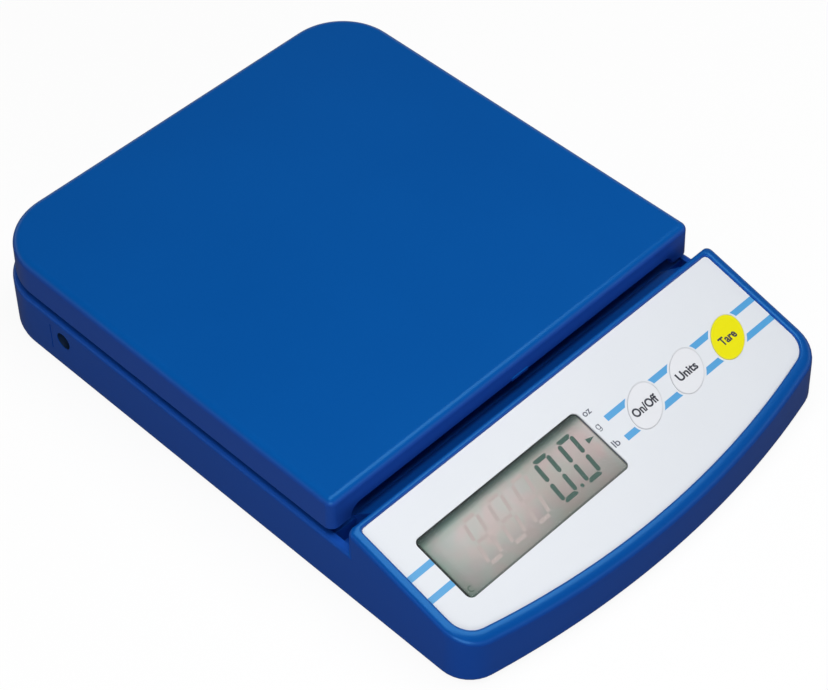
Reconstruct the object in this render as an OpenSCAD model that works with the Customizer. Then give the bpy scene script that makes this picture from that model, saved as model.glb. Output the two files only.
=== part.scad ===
/* [Housing] */
// Width of the housing
body_w = 150; // [146:1:160]
// Height of the feet below the housing
foot_drop = 1.2; // [0.8:0.2:2.4]
// Height of the side walls
wall_h = 19.3; // [19.2:0.1:21.5]
// Thickness of the moulded walls
wall = 2.5; // [2:0.1:3]
// How far the walls flare out on their way down
flare = 0.5; // [0:0.1:0.8]
// Radius of the rear corners of the housing
rear_r = 19.5; // [16:0.5:26]
// Radius on the upper outer edge of the side walls
lip_r = 1.5; // [0.5:0.25:2]
// Thickness of the deck under the platform
deck_t = 1.5; // [1:0.1:1.6]

/* [Console] */
// Depth of the console, its rear face to the front of the bow
console_d = 53.8; // [52:0.2:60]
// Height of the console at the label's rear edge
console_h = 27.9; // [27:0.1:29]
// Slope of the console in degrees
slope = 15.2; // [13:0.2:16]
// Radius of the bow along the front
bow_r = 300; // [250:10:340]
// Radius of the two front corners
front_r = 10.5; // [9:0.5:14]
// Radius of the console's rear corners
console_r = 2; // [1.5:0.25:4]
// Gap between the platform and the console
groove = 6.6; // [5:0.2:8]
// Width of the raised rim at the sides
rim_w = 3.3; // [3:0.1:4]
// Width of the raised rim at the front
rim_front = 4.1; // [3.5:0.1:4.6]
// Width of the raised rim at the rear
rim_rear = 2; // [1.6:0.1:2.6]
// Height of the rim above the label
rim_h = 0.8; // [0.4:0.1:1.2]
// Radius on the rim's outer edge
rim_edge_r = 2; // [1.5:0.1:2.2]
// Width of the sloped fairing behind the console
fairing_w = 129; // [118:1:132]
// Reach of the fairing under the platform
fairing_d = 8.3; // [7:0.1:9]
// Depth of the hollows at the ends of the fairing
hollow_depth = 6; // [3:0.5:8]

/* [Platform] */
// Gap between the platform's edge and the housing's outline
platform_margin = 0.9; // [0.3:0.1:2]
// Depth of the weighing platform
platform_d = 147.7; // [144:0.1:152]
// Height of the platform, its lower edge to its top
platform_h = 11.4; // [10.8:0.1:13]
// Clear gap between the side walls and the platform's skirt
platform_gap = 2.7; // [1.5:0.1:3.4]
// Radius on the platform's upper edge
platform_edge_r = 2.5; // [1.5:0.25:3]
// How far the platform's skirt flares out on its way down
platform_flare = 0.3; // [0:0.1:0.5]
// Radius of the platform's rear corners
platform_rear_r = 20; // [16:0.5:24]
// Radius of the platform's front corners
platform_front_r = 2.5; // [2:0.25:5]
// Thickness of the platform's top
platform_t = 2.5; // [2:0.25:3]
// Thickness of the platform's skirt
skirt_t = 2.2; // [1.6:0.2:2.6]
// Width of the raised part of the front skirt
skirt_cut_w = 134; // [130:1:138]
// How far the front skirt is raised there
skirt_cut_h = 4; // [2.5:0.25:4.5]
// Travel of the platform onto its stops
platform_travel = 0.5; // [0.3:0.1:0.6]

/* [Display and keys] */
// Left edge of the display opening, from the middle
display_left = 62.9; // [61:0.1:63.5]
// Width of the display opening
display_w = 64.4; // [60:0.1:66]
// Display opening, distance from the label's rear edge
display_v = 11.6; // [11.4:0.1:12]
// Depth of the display opening down the slope
display_d = 22.3; // [20:0.1:22.6]
// Corner radius of the display opening
display_r = 2; // [1:0.25:3]
// First key, distance right of the middle
key_x = 19; // [18:0.25:20]
// Distance between the keys
key_pitch = 18.25; // [17.5:0.25:18.5]
// Keys, distance from the label's rear edge
key_v = 23.3; // [22:0.1:24]
// Length of an oval key
key_len = 15.4; // [14:0.1:16]
// Width of an oval key
key_wid = 10.2; // [9:0.1:11]
// Lean of the oval keys in degrees
key_lean = 40; // [20:5:60]
// Travel of a key
key_travel = 0.3; // [0.2:0.05:0.4]

/* [Weighing cell] */
// Length of the weighing cell
cell_len = 80; // [76:1:84]
// Width of the weighing cell
cell_w = 12.7; // [10:0.1:14]
// Height of the weighing cell
cell_h = 12.7; // [11.5:0.1:13]
// Thickness of the spider plate
spider_t = 2.5; // [2:0.25:3]
// Reach of the spider's arms from the middle, each way
spider_reach = 46; // [40:1:48]

/* [Power] */
// Diameter of a battery
battery_dia = 14.2; // [13.8:0.1:14.4]
// Length of a battery with its cap
battery_len = 50.4; // [49:0.1:51]
// Diameter of the access hole for the power plug
jack_hole = 5.8; // [5.6:0.1:6.4]
// Diameter of the centre pin of the power jack
jack_pin = 2.1; // [2:0.1:2.5]
// Travel of the battery door
door_travel = 6; // [5:0.5:7]

/* [Hidden] */
$fn = 48;
fit = 0.3;
seat = 0.2;
eps = 0.02;
pilot = 0.05;

/* housing */
body_d = platform_margin + platform_d + groove + console_d;
half_w = body_w / 2;
rear_y = body_d / 2;
front_y = -body_d / 2;
base_z = foot_drop;
base_edge = 1.6;
wall_top = base_z + wall_h;
bow_y = front_y + bow_r;
corner_x = half_w - front_r;
corner_y = bow_y - sqrt(pow(bow_r - front_r, 2) - pow(corner_x, 2));
deck_drop = 0.5;
deck_z = wall_top - deck_drop;
deck_under = deck_z - deck_t;
cover_t = 2.5;
cover_z = base_z + cover_t;

/* platform */
pan_rear = rear_y - platform_margin;
pan_front = pan_rear - platform_d;
pan_mid = (pan_rear + pan_front) / 2;
pan_half = half_w - platform_margin;
skirt_z = wall_top + platform_gap;
platform_top = skirt_z + platform_h;
pan_under = platform_top - platform_t;
rib_t = 1.2;
rib_h = 4;
rib_count = 5;
gate_w = 6.6;
gate_out = 0.5;
gate_h = 1;

/* console and its label */
console_rear = pan_front - groove;
panel_y = console_rear - rim_rear;
panel_z = base_z + console_h;
rim_in_r = 0.7;
label_r = 1.4;
label_t = 0.5;
label_gap = 0.1;
panel_t = 2.5;
panel_low = -label_t - panel_t;
arc_steps = 8;
bow_steps = 30;
edge_steps = 4;
lower_steps = 3;
arc_trim = 0.4;
hollow_d = 7.2;

/* screws that close the housing */
boss_r = 3.2;
screw_r = 1.25;
screw_len = 9;
screw_head_r = 2.6;
screw_head_h = 1.6;
screw_sink = 0.2;

/* weighing cell and spider */
stop_gap = 0.1;
stop_h = 0.8;
pan_screw_r = 1.5;
pan_head_r = 2.9;
pan_head_h = 1.4;
pan_screw_bite = 6;
pan_boss_r = 5;
spider_z = deck_z + stop_h + platform_travel + stop_gap;
spider_top = spider_z + spider_t;
spider_arm_w = 14;
spider_pad_r = 9;
stop_r = 4;
cell_pad_h = 2.5;
cell_pad_w = 3.5;
cell_z = cover_z + cell_pad_h;
cell_top = cell_z + cell_h;
cell_y0 = pan_mid - cell_len / 2;
cell_y1 = pan_mid + cell_len / 2;
cell_bore_at = 8;
cell_web = 1.65;
cell_slit = 2;
cell_room_w = 2.5;
cell_room_d = 3;
cell_screw_r = 2;
cell_screw_pitch = 7;
cell_screw_in = 3;
cell_screw_bite = 7;
cell_head_r = 3.5;
cell_head_h = 2.2;
cell_fixed_y = cell_y1 - cell_screw_in - cell_screw_pitch;
cell_free_y = cell_y0 + cell_screw_in;
spacer_d = cell_screw_pitch + 2 * cell_screw_in + 1;
gauge_w = 8;
gauge_d = 26;
gauge_h = 0.5;

/* height above the table of a plane at an offset from the label's face */
function panel_height(y, off) = panel_z - (panel_y - y) * tan(slope) + off / cos(slope);

/* depth of the bow at a place along the front, drawn in by an inset */
function bow_depth(x, inset) = bow_y - sqrt(pow(bow_r - inset, 2) - x * x);

/* frame of the label plane: x right, v down the slope, w out of it */
module on_panel(x, v, w) {
    translate([0, panel_y, panel_z]) rotate([slope, 0, 0]) translate([x, -v, w]) children();
}
module in_panel(low, high) {
    on_panel(0, 0, low) linear_extrude(high - low) children();
}

/* plan of the housing, drawn in by an inset */
module plan(inset) {
    r = rear_r - inset;
    w = half_w - inset;
    reach = (bow_r - inset) * corner_x / (bow_r - front_r);
    intersection() {
        translate([0, bow_y]) circle(bow_r - inset, $fn = 200);
        translate([-reach, front_y - 1]) square([2 * reach, corner_y - front_y + front_r / 2]);
    }
    for (s = [-1, 1]) translate([s * corner_x, corner_y]) circle(front_r - inset);
    translate([-w, corner_y]) square([2 * w, rear_y - rear_r - corner_y]);
    translate([-w + r, corner_y]) square([2 * (w - r), rear_y - inset - corner_y]);
    for (s = [-1, 1]) translate([s * (w - r), rear_y - rear_r]) circle(r);
}

/* one closed ring of the console at an inset; its share is 0 outside the rim and 1 at the label */
function arc_points(cx, cy, r, from, to, n) =
    [for (k = [0:n]) let (a = from + (to - from) * k / n) [cx + r * cos(a), cy + r * sin(a)]];

function ring_plan(inset, share) =
    let (
        w = half_w - inset,
        back = console_rear - share * rim_rear,
        ahead = share * (rim_front - rim_w),
        c = console_r + share * (label_r - console_r),
        r = front_r - inset,
        lean = atan2(corner_x, bow_y - corner_y)
    )
    concat(
        arc_points(-w + c, back - c, c, 90, 180, arc_steps),
        arc_points(-corner_x, corner_y + ahead, r, 180, 270 - lean, arc_steps),
        arc_points(0, bow_y + ahead, bow_r - inset, 270 - lean + arc_trim, 270 + lean - arc_trim, bow_steps),
        arc_points(corner_x, corner_y + ahead, r, 270 + lean, 360, arc_steps),
        arc_points(w - c, back - c, c, 0, 90, arc_steps)
    );

/* inset and height of the rounded lower edge, from its underside to the widest place */
lower_profile = [for (k = [0:lower_steps]) let (a = 90 * k / lower_steps)
    [base_edge * (1 - sin(a)) - flare, base_edge * (1 - cos(a))]];

/* inset and height of each ring over the rim, from outside to inside */
rim_profile = concat(
    [for (k = [0:edge_steps]) let (a = 90 * k / edge_steps)
        [rim_edge_r * (1 - cos(a)), rim_h - rim_edge_r * (1 - sin(a))]],
    [for (k = [0:edge_steps]) let (a = 90 * k / edge_steps)
        [rim_w - rim_in_r * (1 - sin(a)), rim_h - rim_in_r * (1 - cos(a))]],
    [[rim_w, -label_t]]
);

/* rings of the console, from its lower edge up over the rim to the label's seat */
console_rings = concat(
    [for (s = lower_profile) [for (p = ring_plan(s[0], 0)) [p[0], p[1], base_z + s[1]]]],
    [for (s = rim_profile) [for (p = ring_plan(s[0], s[0] / rim_w)) [p[0], p[1], panel_height(p[1], s[1])]]]
);

/* solid skin through a stack of rings with equal counts */
module loft(rings) {
    n = len(rings[0]);
    m = len(rings);
    polyhedron(
        points = [for (ring = rings) for (p = ring) p],
        faces = concat(
            [[for (i = [0:n - 1]) i]],
            [for (j = [0:m - 2]) for (i = [0:n - 1])
                let (a = j * n + i, b = j * n + (i + 1) % n, c = a + n, d = b + n)
                    each [[a, c, b], [b, c, d]]],
            [[for (i = [n - 1:-1:0]) (m - 1) * n + i]]
        )
    );
}

/* flare left at a height above the lower edge, the same as the console has at its rear */
function flare_at(h) =
    let (rim_low = panel_height(console_rear, rim_h - rim_edge_r) - base_z)
    flare * (rim_low - h) / (rim_low - base_edge);

/* section of a side wall, the housing's outline at zero, rounded at the top */
module wall_section() {
    lip_h = wall_h - lip_r;
    out = flare_at(lip_h);
    polygon(concat(lower_profile, [[-out, lip_h], [lip_r - out, wall_h], [wall, wall_h], [wall, 0]]));
    translate([lip_r - out, lip_h]) circle(lip_r);
}

/* side and rear walls round the platform's bay */
module walls() {
    straight = rear_y - rear_r - console_rear + console_r + seat;
    for (s = [-1, 1])
        translate([s * half_w, rear_y - rear_r, base_z]) rotate([90, 0, 0])
            linear_extrude(straight) mirror([s > 0 ? 1 : 0, 0]) wall_section();
    translate([-half_w + rear_r, rear_y, base_z]) rotate([90, 0, 90])
        linear_extrude(body_w - 2 * rear_r) mirror([1, 0]) wall_section();
    for (s = [0, 1]) mirror([s, 0, 0])
        translate([half_w - rear_r, rear_y - rear_r, base_z]) rotate_extrude(angle = 90)
            translate([rear_r, 0]) mirror([1, 0]) wall_section();
}

/* places of screws, stops, posts and feet */
rear_screw_in = [17, 18.5];
side_screw_in = [7.5, 5];
front_screw_x = corner_x - 3;
front_screw_in = wall + boss_r + 0.6;
cover_screws = [for (s = [-1, 1]) each [
    [s * (half_w - rear_screw_in[0]), rear_y - rear_screw_in[1]],
    [s * (half_w - side_screw_in[0]), pan_front + side_screw_in[1]],
    [s * front_screw_x, bow_depth(front_screw_x, front_screw_in)]
]];
stop_points = [for (sx = [-1, 1]) for (sy = [-1, 1])
    [sx * spider_reach, pan_mid + sy * spider_reach]];
front_foot_in = [17, 25];
rear_foot_in = [19, 36];
foot_points = [for (s = [-1, 1]) each [
    [s * (half_w - front_foot_in[0]), console_rear - front_foot_in[1]],
    [s * (half_w - rear_foot_in[0]), rear_y - rear_foot_in[1]]
]];
foot_r = 5.5;
foot_edge = 0.4;
foot_sink = 0.5;

/* display, board and keys, stacked below the label */
window_gap = 0.05;
opening_margin = 0.3;
glass_gap = 0.4;
glass_t = 2.2;
glass_margin = 0.1;
strip_h = 5.8;
strip_w = 2;
glass_w = -label_t - glass_gap - glass_t;
board_w = glass_w - strip_h;
frame_out = 1.6;
frame_ledge = 1;
board_t = 1.6;
board_half_w = display_left + frame_out + 0.4;
board_rear = wall - rim_rear + 3.5;
board_front = display_v + display_d + frame_out + 0.3;
post_r = 2;
post_in = post_r + 0.3;
board_screw_r = 0.9;
board_screw_bite = 3;
board_screw_head_r = 1.8;
board_screw_head_h = 1.2;
display_right = display_w - display_left;
left_post_in = 8;
front_post_in = 5;
board_posts = concat(
    [for (x = [-board_half_w + left_post_in, display_right, board_half_w - post_in])
        [x, board_rear + post_in]],
    [for (x = [display_right + frame_out + front_post_in, board_half_w - post_in])
        [x, board_front - post_in]]
);
chip_at = [-34, 12];
chip_size = [14, 14, 1.6];
regulator_at = [6, 14];
regulator_size = [9, 6, 1.2];
socket_xs = [-12, 20, 42];
socket_v = 9;
socket_size = [8, 5, 5];
key_xs = [for (k = [0:2]) key_x + k * key_pitch];
key_margin = 0.22;
key_proud = 0.1;
flange_t = 1.1;
flange_out = 1;
key_low = panel_low - key_travel - flange_t;
plunger_r = 1.75;
plunger_in = 0.8;
switch_size = 6;
switch_h = 3.3;
plunger_low = board_w + switch_h - plunger_in;

/* power jack on its small board behind the left wall */
jack_from_rear = 35.15;
jack_y = rear_y - jack_from_rear;
jack_wall = 1.3;
jack_len = 14.2;
jack_depth = 9.5;
jack_bore_r = jack_hole / 2 + 0.3;
jack_z = deck_under - fit - jack_wall - jack_bore_r;
jack_body_w = 2 * (jack_bore_r + jack_wall);
jack_body_low = 4.9;
jack_front = -half_w + wall + fit;
jack_board_t = 1.6;
jack_board_z = jack_z - jack_body_low - jack_board_t;
jack_board_w = 22;
jack_board_d = jack_len + 7;
jack_post_r = 2.6;
jack_post_x = jack_front + jack_len + 3;
jack_post_in = jack_board_w / 2 - 3.5;
jack_posts = [for (s = [-1, 1]) [jack_post_x, jack_y + s * jack_post_in]];
jack_line = [0.4, 0.5, 10];
jack_line_y = jack_y + 5.5;
jack_line_z = jack_z - 1.7;

/* battery bay, part of the bottom cover */
bay_from_side = 34;
bay_x = -half_w + bay_from_side;
bay_from_mid = 28.8;
bay_y = pan_mid - bay_from_mid;
bay_gap = 0.4;
contact_room = 1.2;
bay_wall = 1.2;
bay_roof_t = 1;
leaf_t = 0.4;
leaf_w = 9;
leaf_h = 11;
battery_cap_h = 1.2;
battery_cap_dia = 5.5;
door_t = 1.4;
door_lip = 1.3;
door_lip_t = 0.7;
door_gap = 0.3;
grip_pitch = 2;
grip_from_edge = 4;
grip_count = 5;
grip_depth = door_t / 3;
bay_half_w = 1.5 * (battery_dia + bay_gap) + seat;
bay_half_d = battery_len / 2 + contact_room;
battery_z = base_z + door_t + seat + battery_dia / 2;
bay_roof = battery_z + battery_dia / 2 + seat;

/* oval of a key on the label plane */
module key_oval(extra) {
    rotate(key_lean) scale([(key_len + 2 * extra) / (key_wid + 2 * extra), 1]) circle(key_wid / 2 + extra);
}

module rounded_rect(w, d, r) {
    translate([r, 0]) square([w - 2 * r, d]);
    translate([0, r]) square([w, d - 2 * r]);
    for (x = [r, w - r]) for (y = [r, d - r]) translate([x, y]) circle(r);
}

/* display opening at the label plane, grown by a margin */
module display_outline(extra) {
    translate([-display_left - extra, -display_v - display_d - extra])
        rounded_rect(display_w + 2 * extra, display_d + 2 * extra, display_r);
}
module display_square(extra) {
    translate([-display_left - extra, -display_v - display_d - extra])
        square([display_w + 2 * extra, display_d + 2 * extra]);
}

/* hollow under the console, open below and behind */
module console_room() {
    front = front_y - wall;
    back = console_rear - wall;
    intersection() {
        linear_extrude(panel_z) plan(wall);
        translate([-half_w, 0, 0]) rotate([90, 0, 90]) linear_extrude(body_w)
            polygon([
                [front, 0],
                [front, panel_height(front, panel_low)],
                [back, panel_height(back, panel_low)],
                [back, 0]
            ]);
    }
    translate([-half_w + wall, back - eps, 0]) cube([body_w - 2 * wall, wall + 2 * eps, deck_under]);
}

/* sloped fairing that runs from the console's rear down under the platform */
module fairing_wedge(inset, drop) {
    top = panel_height(console_rear, rim_h - rim_edge_r);
    translate([-fairing_w / 2 + inset, 0, 0]) rotate([90, 0, 90]) linear_extrude(fairing_w - 2 * inset)
        polygon([
            [console_rear - wall - eps, deck_under - drop],
            [console_rear - wall - eps, top - drop],
            [console_rear, top - drop],
            [console_rear + fairing_d, deck_z - drop],
            [console_rear + fairing_d, deck_under - drop]
        ]);
}

/* hollows in the deck at both ends of the fairing */
module end_hollow(grow) {
    x = fairing_w / 2;
    above = grow > 0 ? grow - eps : eps;
    for (s = [0, 1]) mirror([s, 0, 0])
        translate([x - grow, console_rear - grow, deck_z - hollow_depth - grow])
            cube([half_w - wall - x + 2 * grow, hollow_d + 2 * grow, hollow_depth + above]);
}

module deck() {
    translate([0, 0, deck_under]) linear_extrude(deck_t) difference() {
        intersection() {
            plan(wall - eps);
            translate([-half_w, console_rear - wall]) square([body_w, body_d]);
        }
        translate([-cell_w / 2 - cell_room_w, cell_y0 - cell_room_d])
            square([cell_w + 2 * cell_room_w, cell_len + 2 * cell_room_d]);
    }
    for (p = stop_points) translate([p[0], p[1], deck_z - eps]) cylinder(r = stop_r, h = stop_h + eps);
}

/* boss for a cover screw, from the cover up to the deck or the panel */
module screw_boss(p) {
    top = p[1] > console_rear ? deck_under + eps : panel_height(p[1] + boss_r, panel_low);
    translate([p[0], p[1], cover_z]) cylinder(r = boss_r, h = top - cover_z);
}

module housing() {
    color([0.07, 0.25, 0.56]) difference() {
        union() {
            walls();
            deck();
            end_hollow(deck_t);
            difference() {
                union() {
                    loft(console_rings);
                    fairing_wedge(0, 0);
                }
                console_room();
                fairing_wedge(wall, wall * sqrt(2));
            }
            for (p = cover_screws) screw_boss(p);
            for (p = board_posts)
                on_panel(p[0], p[1], board_w) cylinder(r = post_r, h = panel_low - board_w + eps);
        }
        end_hollow(0);
        for (p = cover_screws)
            translate([p[0], p[1], base_z]) cylinder(r = screw_r + pilot, h = cover_t + screw_len);
        for (p = board_posts)
            on_panel(p[0], p[1], board_w - 1)
                cylinder(r = board_screw_r + pilot, h = board_screw_bite + 2, $fn = 24);
        in_panel(panel_low - 1, 1) display_square(opening_margin);
        for (x = key_xs) in_panel(panel_low - 1, 1) translate([x, -key_v]) key_oval(key_margin);
        translate([-half_w - 1, jack_y, jack_z]) rotate([0, 90, 0])
            cylinder(d = jack_hole, h = wall + 1 + fit);
        translate([-half_w - flare - eps, jack_line_y, jack_line_z - jack_line[2] / 2])
            cube([jack_line[0] + flare - flare_at(jack_line_z - base_z) + eps, jack_line[1], jack_line[2]]);
    }
}

/* closing plate with the battery bay and the seat of the weighing cell */
module bottom_cover() {
    x = bay_half_w + bay_wall;
    y = bay_half_d + bay_wall;
    seat_x = cell_w / 2 + cell_pad_w;
    seat_y = cell_fixed_y - cell_pad_w - cell_screw_r;
    color([0.06, 0.2, 0.47]) difference() {
        union() {
            translate([0, 0, base_z]) linear_extrude(cover_t) plan(wall + fit);
            translate([-seat_x, seat_y, cover_z - eps])
                cube([2 * seat_x, cell_y1 + cell_pad_w - seat_y, cell_pad_h + eps]);
            translate([bay_x - x, bay_y - y, cover_z - eps])
                cube([2 * x, 2 * y, bay_roof + bay_roof_t - cover_z + eps]);
            for (p = jack_posts) translate([p[0], p[1], cover_z - eps])
                cylinder(r = jack_post_r, h = jack_board_z - cover_z + eps);
        }
        bay_cuts();
        for (k = [0, 1]) translate([0, cell_fixed_y + k * cell_screw_pitch, 0]) {
            cylinder(r = cell_screw_r + fit, h = cell_z + 1);
            cylinder(r = cell_head_r + fit, h = base_z + cell_head_h + screw_sink);
        }
        for (p = cover_screws) translate([p[0], p[1], 0]) {
            cylinder(r = screw_r + fit, h = cover_z + 1);
            cylinder(r = screw_head_r + fit, h = base_z + screw_head_h + screw_sink);
        }
        for (p = foot_points) translate([p[0], p[1], 0])
            cylinder(r = foot_r + window_gap, h = base_z + foot_sink);
        for (p = jack_posts) translate([p[0], p[1], cover_z])
            cylinder(r = board_screw_r + pilot, h = jack_board_z, $fn = 24);
    }
}

/* room for the batteries, the opening in the cover and the door's track */
module bay_cuts() {
    x = bay_half_w + door_gap;
    track = bay_half_w + door_lip + door_gap;
    front = bay_y - bay_half_d - door_travel - door_gap;
    length = bay_y + bay_half_d + door_gap - front;
    translate([bay_x - bay_half_w, bay_y - bay_half_d, 0]) cube([2 * bay_half_w, 2 * bay_half_d, bay_roof]);
    translate([bay_x - x, front, 0]) cube([2 * x, length, base_z + door_t + door_gap]);
    translate([bay_x - track, front, base_z + door_t - door_lip_t - door_gap])
        cube([2 * track, length, door_lip_t + 2 * door_gap]);
}

module battery_door() {
    grip_w = bay_half_w * 0.8;
    color([0.06, 0.2, 0.47]) difference() {
        union() {
            translate([bay_x - bay_half_w, bay_y - bay_half_d, base_z])
                cube([2 * bay_half_w, 2 * bay_half_d, door_t]);
            translate([bay_x - bay_half_w - door_lip, bay_y - bay_half_d, base_z + door_t - door_lip_t])
                cube([2 * (bay_half_w + door_lip), 2 * bay_half_d, door_lip_t]);
        }
        for (k = [0:grip_count - 1]) {
            y = bay_y + bay_half_d - (k + grip_from_edge) * grip_pitch;
            translate([bay_x - grip_w / 2, y, base_z - eps]) cube([grip_w, grip_pitch / 2, grip_depth]);
        }
    }
}

/* dry cell lying along the bay, its cap forward in the outer slots */
module battery(slot) {
    flip = slot == 0 ? 1 : -1;
    color([0.16, 0.17, 0.18])
        translate([bay_x + slot * (battery_dia + bay_gap), bay_y, battery_z]) rotate([-90 * flip, 0, 0]) {
            translate([0, 0, -battery_len / 2]) cylinder(d = battery_dia, h = battery_len - battery_cap_h);
            translate([0, 0, battery_len / 2 - battery_cap_h - eps])
                cylinder(d = battery_cap_dia, h = battery_cap_h + eps);
        }
}

/* leaf contacts with a dimple, at both ends of the bay */
module battery_contacts() {
    color([0.8, 0.8, 0.78]) for (slot = [-1:1]) for (s = [0, 1])
        translate([bay_x + slot * (battery_dia + bay_gap), bay_y, battery_z]) mirror([0, s, 0])
            translate([0, bay_half_d - leaf_t, 0]) {
                translate([-leaf_w / 2, 0, -leaf_h / 2]) cube([leaf_w, leaf_t, leaf_h]);
                rotate([90, 0, 0]) cylinder(r1 = 3, r2 = 1.5, h = contact_room - leaf_t - window_gap);
            }
}

module feet() {
    color([0.1, 0.1, 0.1]) for (p = foot_points) translate([p[0], p[1], 0]) {
        cylinder(r1 = foot_r - foot_edge, r2 = foot_r, h = foot_edge + eps);
        translate([0, 0, foot_edge]) cylinder(r = foot_r, h = base_z + foot_sink - foot_edge);
    }
}

/* screw that points up, with its seat at zero */
module screw_up(r, length, head_r, head_h) {
    cylinder(r = r, h = length);
    translate([0, 0, -head_h]) cylinder(r = head_r, h = head_h);
}
module housing_screws() {
    color([0.55, 0.56, 0.58]) for (p = cover_screws)
        translate([p[0], p[1], base_z + screw_head_h + screw_sink])
            screw_up(screw_r, screw_len, screw_head_r, screw_head_h);
}

/* weighing cell: a bar thinned at its middle by two joined bores */
module weighing_cell() {
    color([0.78, 0.79, 0.8]) difference() {
        translate([-cell_w / 2, cell_y0, cell_z]) cube([cell_w, cell_len, cell_h]);
        translate([-cell_w, pan_mid, cell_z + cell_h / 2]) {
            for (s = [-1, 1]) translate([0, s * cell_bore_at, 0]) rotate([0, 90, 0])
                cylinder(r = cell_h / 2 - cell_web, h = 2 * cell_w);
            translate([0, -cell_bore_at, -cell_slit / 2]) cube([2 * cell_w, 2 * cell_bore_at, cell_slit]);
        }
        for (k = [0, 1]) {
            translate([0, cell_fixed_y + k * cell_screw_pitch, cell_z - 1])
                cylinder(r = cell_screw_r + pilot, h = cell_h - 1);
            translate([0, cell_free_y + k * cell_screw_pitch, cell_z + 2])
                cylinder(r = cell_screw_r + pilot, h = cell_h);
        }
    }
}
module cell_base_screws() {
    head_z = base_z + cell_head_h + screw_sink;
    color([0.35, 0.36, 0.38]) for (k = [0, 1]) translate([0, cell_fixed_y + k * cell_screw_pitch, head_z])
        screw_up(cell_screw_r, cell_z - head_z + cell_screw_bite, cell_head_r, cell_head_h);
}
module strain_gauges() {
    color([0.88, 0.86, 0.78]) translate([-gauge_w / 2, pan_mid - gauge_d / 2, cell_top])
        cube([gauge_w, gauge_d, gauge_h]);
}

/* spacer and spider that carry the platform on the cell's free end */
module cell_spacer() {
    color([0.7, 0.71, 0.72]) difference() {
        translate([-cell_w / 2, cell_y0, cell_top]) cube([cell_w, spacer_d, spider_z - cell_top]);
        for (k = [0, 1]) translate([0, cell_free_y + k * cell_screw_pitch, cell_top - 1])
            cylinder(r = cell_screw_r + fit, h = spider_z - cell_top + 2);
    }
}
module spider() {
    arm = spider_reach * sqrt(2);
    color([0.66, 0.67, 0.69]) difference() {
        union() {
            for (a = [45, 135]) translate([0, pan_mid, spider_z]) rotate(a)
                translate([-arm, -spider_arm_w / 2, 0]) cube([2 * arm, spider_arm_w, spider_t]);
            for (p = stop_points) translate([p[0], p[1], spider_z]) cylinder(r = spider_pad_r, h = spider_t);
            translate([-cell_w, cell_y0 - cell_screw_in, spider_z])
                cube([2 * cell_w, cell_len / 2 + cell_screw_in, spider_t]);
        }
        for (k = [0, 1]) translate([0, cell_free_y + k * cell_screw_pitch, spider_z - 1])
            cylinder(r = cell_screw_r + fit, h = spider_t + 2);
        for (p = stop_points) translate([p[0], p[1], spider_z - eps]) {
            cylinder(r = pan_screw_r + fit, h = spider_t + 1);
            cylinder(r1 = pan_head_r + fit, r2 = pan_screw_r + fit, h = pan_head_h);
        }
    }
}
module cell_top_screws() {
    length = spider_top - cell_top + cell_screw_bite;
    color([0.35, 0.36, 0.38]) for (k = [0, 1]) translate([0, cell_free_y + k * cell_screw_pitch, spider_top])
        mirror([0, 0, 1]) screw_up(cell_screw_r, length, cell_head_r, cell_head_h);
}
module platform_screws() {
    color([0.55, 0.56, 0.58]) for (p = stop_points) translate([p[0], p[1], spider_z]) {
        cylinder(r1 = pan_head_r, r2 = pan_screw_r, h = pan_head_h);
        cylinder(r = pan_screw_r, h = spider_t + pan_screw_bite);
    }
}

/* section of the platform from its edge inward, rounded above */
module platform_section(reach) {
    round_at = platform_h - platform_edge_r;
    intersection() {
        union() {
            polygon([[-platform_flare, 0], [reach, 0], [reach, round_at], [0, round_at]]);
            translate([platform_edge_r, 0]) square([reach, platform_h]);
            translate([platform_edge_r, round_at]) circle(platform_edge_r);
        }
        translate([-platform_flare, 0]) square([reach + platform_flare, platform_h]);
    }
}

/* corner of the platform, turned about its own centre */
module platform_corner(r) {
    rotate_extrude(angle = 90, $fn = 96) intersection() {
        translate([r, 0]) mirror([1, 0]) platform_section(r);
        square([r + platform_flare, platform_h]);
    }
}

module platform_shape() {
    side = platform_rear_r;
    front = platform_front_r;
    for (s = [0, 1]) mirror([s, 0, 0]) {
        translate([pan_half - side, pan_rear - side, skirt_z]) platform_corner(side);
        translate([pan_half - front, pan_front + front, skirt_z]) rotate(-90) platform_corner(front);
        translate([pan_half, pan_rear - side, skirt_z]) rotate([90, 0, 0])
            linear_extrude(platform_d - side - front) mirror([1, 0]) platform_section(side);
    }
    translate([-pan_half + side, pan_rear, skirt_z]) rotate([90, 0, 90])
        linear_extrude(2 * (pan_half - side)) mirror([1, 0]) platform_section(side);
    translate([-pan_half + front, pan_front, skirt_z]) rotate([90, 0, 90])
        linear_extrude(2 * (pan_half - front)) platform_section(front);
    translate([-pan_half + side, pan_front + front, skirt_z])
        cube([2 * (pan_half - side), platform_d - side - front, platform_h]);
}

/* hollow under the platform */
module platform_room() {
    r = platform_rear_r - skirt_t;
    w = pan_half - skirt_t;
    front = pan_front + skirt_t;
    rear = pan_rear - skirt_t;
    translate([0, 0, skirt_z - 1]) linear_extrude(pan_under - skirt_z + 1) {
        translate([-w, front]) square([2 * w, rear - r - front]);
        translate([-w + r, front]) square([2 * (w - r), rear - front]);
        for (s = [-1, 1]) translate([s * (w - r), rear - r]) circle(r, $fn = 96);
    }
}

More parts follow.
